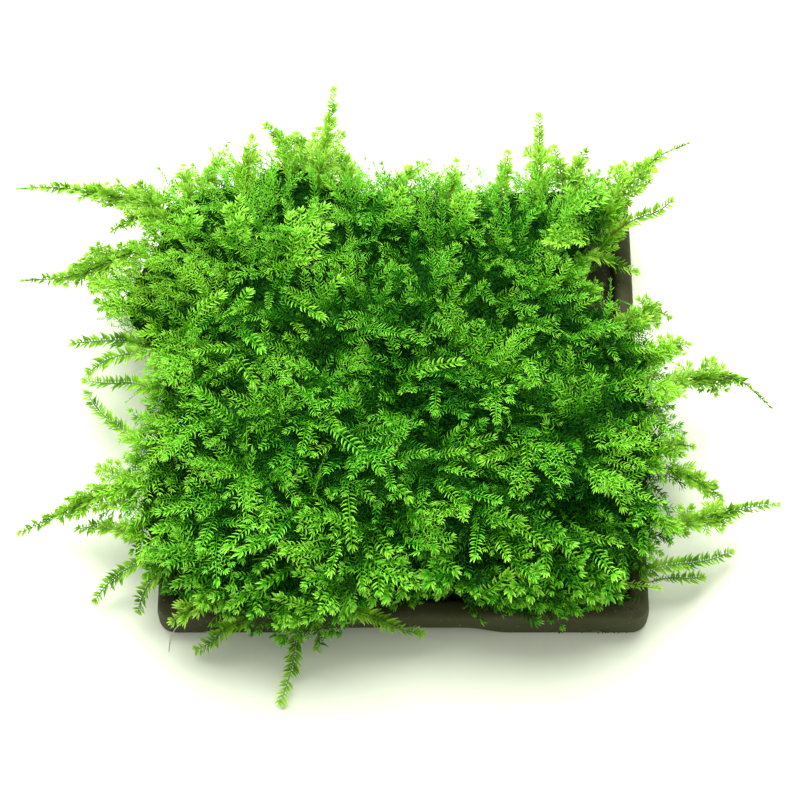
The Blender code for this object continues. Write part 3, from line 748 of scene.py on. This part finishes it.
def fringe_sprigs(chance):
    """Twigs that stick out sideways all round the mat, shorter over the tray's front."""
    points, normals, _, _ = scatter(chance, spacing=2.9, inset=0.6, lowest_deg=-45)
    outer = np.flatnonzero((normals[:, 2] < 0.75) & (normals[:, 2] > -0.45))
    points, normals = points[outer], normals[outer]
    count = len(points)
    outwards = unit(points * (1.0, 1.0, 0.0))
    front = np.clip((-points[:, 1] - 22) / 14, 0, 1)
    flow = unit(outwards + chance.normal(0, 0.3, (count, 3)) * (1.0, 1.0, 0.7))
    length = chance.uniform(7.0, 12.5, count)
    heading = unit(flow + column(chance.normal(0.25, 0.2, count)) * UP)
    ending = unit(flow - column(chance.normal(0.2, 0.25, count)) * UP)
    reach = np.where(points[:, 1] > 28, 0.55, 1.0) * (1 - 0.75 * front)
    beyond = chance.triangular(-1.8, 0.0, 4.8, count) * reach + extra_reach(points)
    bare = bare_share(points)
    return trimmed(sprig_group(
        count, start=points - 4.5 * outwards, heading=heading, ending=ending,
        side=unit(np.cross(flow, UP) + chance.normal(0, 0.3, (count, 3))), length=length,
        leaf=1.3 + 0.25 * front, pitch=0.56 + 0.20 * front, girth=0.11, broad=1.45, blade=1.1 + 0.5 * front,
        tip=0.9, ropy=np.clip(0.55 - 0.45 * front + chance.normal(0, 0.1, count), 0, 1), taper=1.0,
        # Paler than the mat: painted light shining through the twigs at its edge; darker over the front:
        # painted shade
        shade=0.61 - 0.10 * front + chance.normal(0, 0.10, count),
        warm=np.clip(chance.normal(0.80 - 0.4 * front, 0.1), *WARMTHS), stem=0.0,
        ground=points, outward=normals,
    ), beyond * (1 - bare) - 1.5 * bare)


def branchlets(mains, chance, spacing, share):
    """Side sprigs on both sides of main stems, in the stem's plane, shorter towards its tip."""
    who, place = numbered(np.maximum((mains["length"] * 0.68 / spacing).astype(int), 1))
    count = len(who)
    groups = []
    for hand, lag in ((1.0, 0.0), (-1.0, 0.5)):
        t = 0.22 + (place + lag + chance.uniform(-0.15, 0.15, count)) * spacing / mains["length"][who]
        t = np.clip(t, 0.05, 0.9)
        point, ahead, side, above = frames_at(mains, who, t)
        turn = np.radians(chance.uniform(38, 64, count) - 12 * mains["ropy"][who])
        heading = unit(column(np.cos(turn)) * ahead + column(hand * np.sin(turn)) * side
                       + chance.normal(0, 0.08, (count, 3)))
        ending = unit(heading + 0.35 * ahead - column(chance.uniform(0.0, 0.3, count)) * above)
        group = pick(mains, who)
        group.update(
            start=point, heading=heading, ending=ending, side=unit(np.cross(heading, above)),
            length=mains["length"][who] * share * (1 - t) ** 0.7 * chance.uniform(0.6, 1.15, count) + 0.8,
            leaf=mains["leaf"][who] * 0.88, pitch=mains["pitch"][who] * 0.92,
            girth=mains["girth"][who] * 0.7, tip=mains["tip"][who] * 0.95,
            shade=mains["shade"][who] + 0.06 * t + chance.normal(0, 0.025, count),
        )
        groups.append(group)
    return join(groups)


def frond_sprigs(chance):
    """The pale fronds that lie on top of the mat, the branched ones with their side sprigs."""
    ends = np.array(FRONDS)
    count = len(ends)
    start, tip = on_mat(ends[:, 0:2], -0.5), on_mat(ends[:, 2:4], 1.2)
    chord = tip - start
    span = np.linalg.norm(chord, axis=1)
    arch = 0.35 * column(span) * UP
    mains = sprig_group(
        count, start=start, heading=unit(chord + arch), ending=unit(chord - arch),
        side=unit(np.cross(chord, UP) + chance.normal(0, 0.1, (count, 3)) * column(span)),
        length=1.06 * span, leaf=1.6, pitch=0.84, girth=0.12, broad=1.15, blade=1.5, tip=1.1, ropy=0.0,
        taper=1.0, shade=0.62 + chance.normal(0, 0.03, count),
        warm=np.clip(chance.normal(0.45, 0.15, count), *WARMTHS), stem=0.0,
        ground=(start + tip) / 2, outward=np.tile(UP, (count, 1)),
    )
    branched = pick(mains, np.flatnonzero(ends[:, 4]))
    return join([mains, branchlets(branched, chance, spacing=2.0, share=0.34)])


def make_mat(material):
    """The mat's moss, cut into pieces by place to keep each of them small enough."""
    chance = np.random.default_rng(MAT_SEED)
    plumes = mat_sprigs(chance, PLUME)
    plumes = join([plumes, branchlets(plumes, chance, spacing=2.8, share=0.42)])
    feathers = mat_sprigs(chance, FEATHER)
    under = mat_sprigs(chance, UNDER)
    fringe = fringe_sprigs(chance)
    fringe = join([fringe, branchlets(fringe, chance, spacing=1.9, share=0.36)])
    sprigs = join([plumes, feathers, under, fringe, frond_sprigs(chance)])
    row = np.digitize(sprigs["ground"][:, 1], MAT_ROWS)
    side = (sprigs["ground"][:, 0] > 0).astype(int)
    for r, row_name in enumerate(("front", "middle", "back")):
        for s, side_name in enumerate(("left", "right")):
            part = pick(sprigs, np.flatnonzero((row == r) & (side == s)))
            piece = add_moss(f"moss_{row_name}_{side_name}", part, material, chance)
            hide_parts("moss_cushion")


def smooth_line(knots, steps):
    """A smooth line through the knots between the first and the last, which only give directions."""
    line = []
    for i in range(1, len(knots) - 2):
        before, a, b, after = knots[i - 1:i + 3]
        for t in np.linspace(0, 1, steps, endpoint=False):
            line.append(0.5 * (2 * a + (b - before) * t + (2 * before - 5 * a + 4 * b - after) * t ** 2
                               + (3 * a - before - 3 * b + after) * t ** 3))
    return np.array(line + [knots[-2]])


def shoot_line(points):
    """The shoot's smooth line from just inside the mass to the base of its last leaves."""
    root, way, tip = np.array(points, float)
    tip = tip - SHOOT_TIP_LEAF * unit(tip - way)
    inward = unit(unit(root - way) + SHOOT_ROOT_DROP) * SHOOT_ROOT
    return smooth_line([root + 2 * inward, root + inward, root, way, tip, 2 * tip - way], 12)


def shoot_sprigs(name, points, chance):
    """A trailing shoot: its stem in short stretches, with side twigs that make it bushy near the mass."""
    line = shoot_line(points)
    run = np.concatenate(([0.0], np.cumsum(np.linalg.norm(np.diff(line, axis=0), axis=1))))
    count = max(int(round(run[-1] / SHOOT_STRETCH)), 3)
    at = np.linspace(0, run[-1], count + 1)
    knots = np.stack([np.interp(at, run, line[:, k]) for k in range(3)], axis=1)
    ahead = unit(np.gradient(knots, axis=0))
    length = np.linalg.norm(np.diff(knots, axis=0), axis=1)
    side = unit(np.cross(ahead[:-1], UP) + chance.normal(0, 0.15, (count, 3)))
    hidden = SHOOT_HIDDEN / run[-1]
    reach = np.clip((np.linspace(0, 1, count) - hidden) / (1 - hidden), 0, 1)
    last = np.arange(count) == count - 1
    thin = np.clip((reach - SHOOT_THIN.get(name, 1.0)) / 0.15, 0, 1)
    style = BUSH if name in SHOOT_TWIGS else COMB
    mains = sprig_group(
        count, start=knots[:-1], heading=ahead[:-1], ending=ahead[1:], side=side, length=length,
        leaf=(style["leaf"] - 0.4 * reach) * (1 - 0.45 * thin),
        pitch=(0.52 + 0.10 * reach) * (1 - 0.3 * thin), girth=style["girth"] - 0.05 * reach,
        broad=style["broad"], blade=1.2, tip=np.where(last, 0.95, 0.0), ropy=style["ropy"] + 0.4 * thin,
        taper=np.where(last, 1.0, 0.0), shade=style["shade"] + 0.06 * reach + chance.normal(0, 0.08, count),
        warm=np.clip(chance.normal(style["warm"], 0.15, count), *WARMTHS),
        stem=0.13 if name in SHOOT_THIN or chance.random() < 0.15 else 0.0,
        ground=knots[:-1], outward=np.tile(UP, (count, 1)),
    )
    if name in BARE_ROOTS:
        mains["leaf"] = mains["leaf"] * np.interp(at[:-1], (2.0, 8.0), (0.4, 1.0))
    if name in BARE_SHOOTS:
        return mains
    inner = np.flatnonzero(reach < 0.75)
    near = pick(mains, inner) | dict(tip=0.9, taper=1.0, broad=1.3, reach=reach[inner])
    near = sprig_group(len(inner), **near)
    across = near | dict(side=unit(np.cross(near["side"], near["heading"])))
    twigs = join([branchlets(near, chance, 1.5, 0.0), branchlets(across, chance, 2.6, 0.0)])
    share, longest = SHOOT_TWIGS.get(name, COMB_TWIGS)
    bushy = np.clip(1 - twigs.pop("reach") / share, 0, 1)
    twigs["length"] = (0.8 + longest * bushy) * chance.uniform(0.5, 1.1, len(bushy))
    twigs["stem"] = np.zeros(len(bushy))
    twigs = pick(twigs, np.flatnonzero((bushy > 0) | (chance.random(len(bushy)) < 0.3)))
    long_twigs = pick(twigs, np.flatnonzero(twigs["length"] > 3.2))
    return join([mains, twigs, branchlets(long_twigs, chance, spacing=1.6, share=0.42)])


def make_shoots(material):
    """One leafy piece for each trailing shoot."""
    shoots = [(f"{side}_{i}", line) for side, lines in SHOOTS.items() for i, line in enumerate(lines, 1)]
    for number, (name, points) in enumerate(shoots):
        chance = np.random.default_rng(SHOOT_SEED + number)
        sprigs = shoot_sprigs(name, points, chance)
        piece = add_moss("leafy_shoot_" + name, sprigs, material, chance)
        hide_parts("shoot_" + name)


def set_inputs(node, **values):
    """The node, with values set on its inputs. An underscore stands for a space in an input's name."""
    for name, value in values.items():
        node.inputs[name.replace("_", " ")].default_value = value
    return node


def new_material(name, **values):
    """A material, its node tree and its shader with these values set."""
    material = bpy.data.materials.new(name)
    material.use_nodes = True
    shader = set_inputs(material.node_tree.nodes["Principled BSDF"], **values)
    return material, material.node_tree, shader


def noise(tree, scale, detail=6.0, roughness=0.6):
    """A noise pattern in the object's own space."""
    place = tree.nodes.new("ShaderNodeTexCoord")
    pattern = tree.nodes.new("ShaderNodeTexNoise")
    set_inputs(pattern, Scale=scale, Detail=detail, Roughness=roughness)
    tree.links.new(place.outputs["Object"], pattern.inputs["Vector"])
    return pattern.outputs["Fac"]


def coloured(tree, values, stops):
    """Values turned into colours by a ramp of (place, linear colour) pairs."""
    ramp = tree.nodes.new("ShaderNodeValToRGB")
    tree.links.new(values, ramp.inputs["Fac"])
    elements = ramp.color_ramp.elements
    elements.remove(elements[-1])
    (place, colour), *others = stops
    elements[0].position = place
    elements[0].color = (*colour, 1.0)
    for place, colour in others:
        elements.new(place).color = (*colour, 1.0)
    return ramp.outputs["Color"]


def add_bump(tree, height, strength, distance):
    """Fine relief on the material's surface, from a pattern."""
    bump = set_inputs(tree.nodes.new("ShaderNodeBump"), Strength=strength, Distance=distance)
    tree.links.new(height, bump.inputs["Height"])
    tree.links.new(bump.outputs["Normal"], tree.nodes["Principled BSDF"].inputs["Normal"])


def new_mix(tree, share):
    """A node that mixes two colours by a share of the second."""
    mix = tree.nodes.new("ShaderNodeMix")
    mix.data_type = "RGBA"
    tree.links.new(share, mix.inputs["Factor"])
    return mix


def leaf_material(name, ramps, glow):
    """Leaves with a waxy glint that let light through, coloured by their shade and warmth."""
    material, tree, shader = new_material(
        name, Roughness=0.42, Specular_IOR_Level=0.10, Specular_Tint=(0.60, 1.0, 0.30, 1.0))
    link = tree.links.new
    shade = tree.nodes.new("ShaderNodeAttribute")
    shade.attribute_name = "shade"
    warm = tree.nodes.new("ShaderNodeAttribute")
    warm.attribute_name = "warm"
    mix = new_mix(tree, warm.outputs["Fac"])
    for colours, socket in zip(ramps, MIX_INPUTS):
        link(coloured(tree, shade.outputs["Fac"], zip(LEAF_STOPS, colours)), mix.inputs[socket])
    through = tree.nodes.new("ShaderNodeBsdfTranslucent")
    link(mix.outputs[MIX_OUTPUT], shader.inputs["Base Color"])
    link(mix.outputs[MIX_OUTPUT], through.inputs["Color"])
    both = set_inputs(tree.nodes.new("ShaderNodeMixShader"), Fac=glow)
    link(shader.outputs["BSDF"], both.inputs[1])
    link(through.outputs["BSDF"], both.inputs[2])
    link(both.outputs["Shader"], tree.nodes["Material Output"].inputs["Surface"])
    return material


def heart_material():
    """Old brown and dark green stems, packed together, made near black by painted shade."""
    material, tree, shader = new_material("moss_heart", Roughness=0.9, Specular_IOR_Level=0.05)
    stems = noise(tree, 2000.0)
    tree.links.new(coloured(tree, stems, HEART_STEM_AND_SHADE_COLOURS), shader.inputs["Base Color"])
    add_bump(tree, stems, 0.8, 0.0005)
    return material


def tray_material():
    """Matte dark olive plastic, mottled, with dust and light scuffs."""
    material, tree, shader = new_material("tray_plastic", Specular_IOR_Level=0.10)
    link = tree.links.new
    mottle = noise(tree, 60.0)
    dust = noise(tree, 1400.0, 3.0, 0.5)
    specks = set_inputs(tree.nodes.new("ShaderNodeMapRange"), From_Min=0.66, From_Max=0.74, To_Max=0.55)
    link(dust, specks.inputs["Value"])
    mix = new_mix(tree, specks.outputs["Result"])
    plastic, dusty = (mix.inputs[socket] for socket in MIX_INPUTS)
    link(coloured(tree, mottle, PLASTIC_COLOURS), plastic)
    dusty.default_value = DUST_COLOUR
    link(mix.outputs[MIX_OUTPUT], shader.inputs["Base Color"])
    rough = set_inputs(tree.nodes.new("ShaderNodeMapRange"), To_Min=0.42, To_Max=0.68)
    link(mottle, rough.inputs["Value"])
    link(rough.outputs["Result"], shader.inputs["Roughness"])
    add_bump(tree, dust, 0.35, 0.0002)
    return material


def dirt_material(name, colours):
    """A dull material that varies between two colours."""
    material, tree, shader = new_material(name, Roughness=0.8)
    tree.links.new(coloured(tree, noise(tree, 1500.0), colours), shader.inputs["Base Color"])
    return material


def add_rings(name, rings, material):
    """A closed body from rings of points, its first and last ring filled with a fan of triangles."""
    levels, around = rings.shape[:2]
    middles = rings[[0, -1]].mean(axis=1)
    step = np.arange(around)
    after = (step + 1) % around
    faces = []
    for level in range(levels - 1):
        high, low = level * around, (level + 1) * around
        faces.append(np.stack((high + step, low + step, low + after), axis=1))
        faces.append(np.stack((high + step, low + after, high + after), axis=1))
    first, last = levels * around, levels * around + 1
    faces.append(np.stack((np.full(around, first), step, after), axis=1))
    bottom = (levels - 1) * around
    faces.append(np.stack((np.full(around, last), bottom + after, bottom + step), axis=1))
    corners = np.concatenate((rings.reshape(-1, 3), middles))
    thing = add_mesh(name, corners, np.concatenate(faces), material)
    thing.data.shade_smooth()
    return thing


def make_heart(material):
    """The dark inner mass under the fronds, which fills the tray and bulges over its rim."""
    rings = mat_rings(HEART_INSET, -40, 60, 240)
    out = ring_normals(rings).reshape(-1, 3)
    flat = rings.reshape(-1, 3)
    rise, _ = lumps(flat)
    rough = np.random.default_rng(HEART_SEED).normal(0, HEART_ROUGH, len(flat))
    sideways = 1 - np.clip(out[:, 2], 0, 1)
    bulge = column(HEART_LUMPS * rise + rough - HEART_SIDES * sideways)
    shape = (flat + bulge * out).reshape(rings.shape)
    shape[..., 2] = np.maximum(shape[..., 2], TRAY_HEIGHT + HEART_GAP)
    last = shape[-1]
    angles = np.arctan2(last[:, 1], last[:, 0])
    inner = TRAY_HALF - TRAY_WALL - HEART_GAP
    square = inner / np.maximum(np.abs(np.cos(angles)), np.abs(np.sin(angles)))
    reach = np.minimum(np.minimum(plan_distance(last), square), inner * HEART_CORNER)
    lower = []
    for z, back in HEART_FOOT:
        at = reach - back
        lower.append(np.stack((at * np.cos(angles), at * np.sin(angles), np.full(len(at), z)), axis=-1))
    return add_rings("moss_heart", np.concatenate((shape, np.stack(lower))), material)


def square_ring(half, z):
    """Points of a rounded square at a height, anticlockwise seen from above."""
    radius = max(TRAY_CORNER + half - TRAY_HALF, LEAST_CORNER)
    ring = []
    for quarter in range(4):
        start = math.radians(90 * quarter)
        cx = (half - radius) * (1 if quarter in (0, 3) else -1)
        cy = (half - radius) * (1 if quarter in (0, 1) else -1)
        for step in range(CORNER_STEPS + 1):
            turn = start + math.radians(90) * step / CORNER_STEPS
            ring.append((cx + radius * math.cos(turn), cy + radius * math.sin(turn), z))
        x0, y0 = ring[-1][:2]
        turn = start + math.radians(90)
        run = 2 * (half - radius)
        for step in range(1, SIDE_STEPS):
            share = run * step / SIDE_STEPS
            ring.append((x0 - share * math.sin(turn), y0 + share * math.cos(turn), z))
    return ring


def arch_rise(x, y):
    """Height of the arch under a side at a place on it."""
    along = min(abs(x), abs(y))
    share = (ARCH_FOOT_HALF - along) / (ARCH_FOOT_HALF - ARCH_FLAT_HALF)
    share = max(0.0, min(1.0, share))
    return ARCH_HEIGHT * (1 - math.cos(math.pi * share)) / 2


def arc(centre, radius, from_deg, to_deg, steps):
    """Points of an arc in the (outwards, up) plane of a wall."""
    turns = np.radians(np.linspace(from_deg, to_deg, steps + 1))
    return [(centre[0] + radius * math.cos(turn), centre[1] + radius * math.sin(turn)) for turn in turns]


def make_tray(material):
    """The low square tray with rounded edges and a shallow arch under each side."""
    outer, inner = TRAY_HALF, TRAY_HALF - TRAY_WALL
    foot = outer + TRAY_FLARE
    rim = TRAY_HEIGHT - RIM_ROUND
    profile = [(inner - FLOOR_FILLET - FLOOR_RING, TRAY_FLOOR), (inner - FLOOR_FILLET, TRAY_FLOOR)]
    profile += arc((inner - FLOOR_FILLET, TRAY_FLOOR + FLOOR_FILLET), FLOOR_FILLET, -90, 0, 5)[1:]
    profile += arc((inner + RIM_ROUND, rim), RIM_ROUND, 180, 90, 7)
    profile += arc((outer - RIM_ROUND, rim), RIM_ROUND, 90, 0, 7)
    profile += [(outer + TRAY_FLARE * k / WALL_STEPS, rim - WALL_STEP * k) for k in range(1, WALL_STEPS)]
    arched = len(profile)
    profile += arc((foot - FOOT_ROUND, FOOT_ROUND), FOOT_ROUND, 0, -90, 5)
    profile += [(outer - ARCH_DEPTH, 0.0)]
    flat = len(profile)
    profile += [(outer - ARCH_DEPTH - ARCH_STEP, 0.0)]
    rings = []
    for i, (half, z) in enumerate(profile):
        ring = square_ring(half, z)
        if arched <= i < flat:
            ring = [(x, y, z + arch_rise(x, y)) for x, y, z in ring]
        rings.append(ring)
    return add_rings("tray_shell", np.array(rings), material)


def make_hair(material):
    """The pale hair that hangs over the rim and lies on the table."""
    line = smooth_line(np.array(HAIR), 8)
    ahead = unit(np.gradient(line, axis=0))
    side = unit(np.cross(ahead, (1.0, 0.3, 0.0)))
    above = np.cross(side, ahead)
    turns = np.linspace(0, 2 * math.pi, 6, endpoint=False)[None, :, None]
    rings = line[:, None] + HAIR_RADIUS * (np.cos(turns) * side[:, None] + np.sin(turns) * above[:, None])
    return add_rings("tray_hair", rings, material)


def make_crumbs(material):
    """Small uneven crumbs of eight faces each."""
    chance = np.random.default_rng(CRUMB_SEED)
    centres = np.concatenate([chance.uniform(low, high, (count, 3)) for low, high, count in CRUMB_PATCHES])
    count = len(centres)
    axes = np.array(((1, 0, 0), (0, 1, 0), (-1, 0, 0), (0, -1, 0), (0, 0, 1), (0, 0, -1)), float)
    sizes = chance.uniform(*CRUMB_SIZE, (count, 1, 1)) * chance.uniform(0.6, 1.3, (count, 6, 1))
    corners = (centres[:, None] + sizes * axes[None]).reshape(-1, 3)
    pattern = ((0, 1, 4), (1, 2, 4), (2, 3, 4), (3, 0, 4), (1, 0, 5), (2, 1, 5), (3, 2, 5), (0, 3, 5))
    return add_mesh("tray_crumbs", corners, repeated(pattern, 6, count), material)


def make_floor():
    """The plain pale table top, tinted with painted green bounce light."""
    half = FLOOR_HALF * MM
    corners = [(-half, -half, 0), (half, -half, 0), (half, half, 0), (-half, half, 0)]
    mesh = bpy.data.meshes.new("floor")
    mesh.from_pydata(corners, [], [(0, 1, 2, 3)])
    mesh.materials.append(new_material("floor_white", Base_Color=FLOOR_COLOUR_WITH_PAINTED_BOUNCE, Roughness=0.8)[0])
    floor = bpy.data.objects.new("floor", mesh)
    bpy.context.scene.collection.objects.link(floor)


def add_softbox(name, place, size, power):
    """A square area light that faces the clump."""
    lamp = bpy.data.lights.new(name, "AREA")
    lamp.shape = "SQUARE"
    lamp.size = size
    lamp.energy = power
    light = bpy.data.objects.new(name, lamp)
    light.location = place
    aim = np.array(place) - LIGHT_AIM
    light.rotation_euler = (math.atan2(math.hypot(aim[0], aim[1]), aim[2]), 0.0, math.atan2(aim[0], -aim[1]))
    bpy.context.scene.collection.objects.link(light)


def make_studio():
    """Camera, soft light from above and behind, and a bright white surround."""
    scene = bpy.context.scene
    lens = bpy.data.cameras.new("camera")
    lens.lens = CAMERA_LENS
    lens.sensor_width = CAMERA_SENSOR
    lens.clip_start, lens.clip_end = CAMERA_CLIP
    camera = bpy.data.objects.new("camera", lens)
    tilt = math.radians(CAMERA_ELEVATION_DEG)
    back = np.array((0.0, -math.cos(tilt), math.sin(tilt)))
    camera.location = (np.array(CAMERA_TARGET) + CAMERA_DISTANCE * back) * MM
    camera.rotation_euler = (math.radians(90.0) - tilt, 0.0, 0.0)
    scene.collection.objects.link(camera)
    scene.camera = camera
    world = bpy.data.worlds.new("white_room")
    world.use_nodes = True
    background = world.node_tree.nodes["Background"]
    set_inputs(background, Color=(1.0, 1.0, 1.0, 1.0), Strength=SURROUND_STRENGTH)
    scene.world = world
    scene.view_settings.view_transform = "Standard"
    for light in LIGHTS:
        add_softbox(*light)
    make_floor()


def main():
    """The studio, the tray with its dirt, the dark inner mass, the mat and the shoots."""
    leaves = leaf_material("moss_leaf", (COOL_LEAVES, WARM_LEAVES), 0.25)
    young = leaf_material("shoot_leaf", (WARM_LEAVES, PALE_LEAVES), 0.32)
    make_studio()
    tray = make_tray(tray_material())
    hair = make_hair(dirt_material("pale_hair", HAIR_COLOURS))
    crumbs = make_crumbs(dirt_material("dark_crumbs", CRUMB_COLOURS))
    for piece in (tray, hair, crumbs):
        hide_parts("tray")
    heart = make_heart(heart_material())
    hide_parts("moss_cushion")
    make_mat(leaves)
    make_shoots(young)


main()
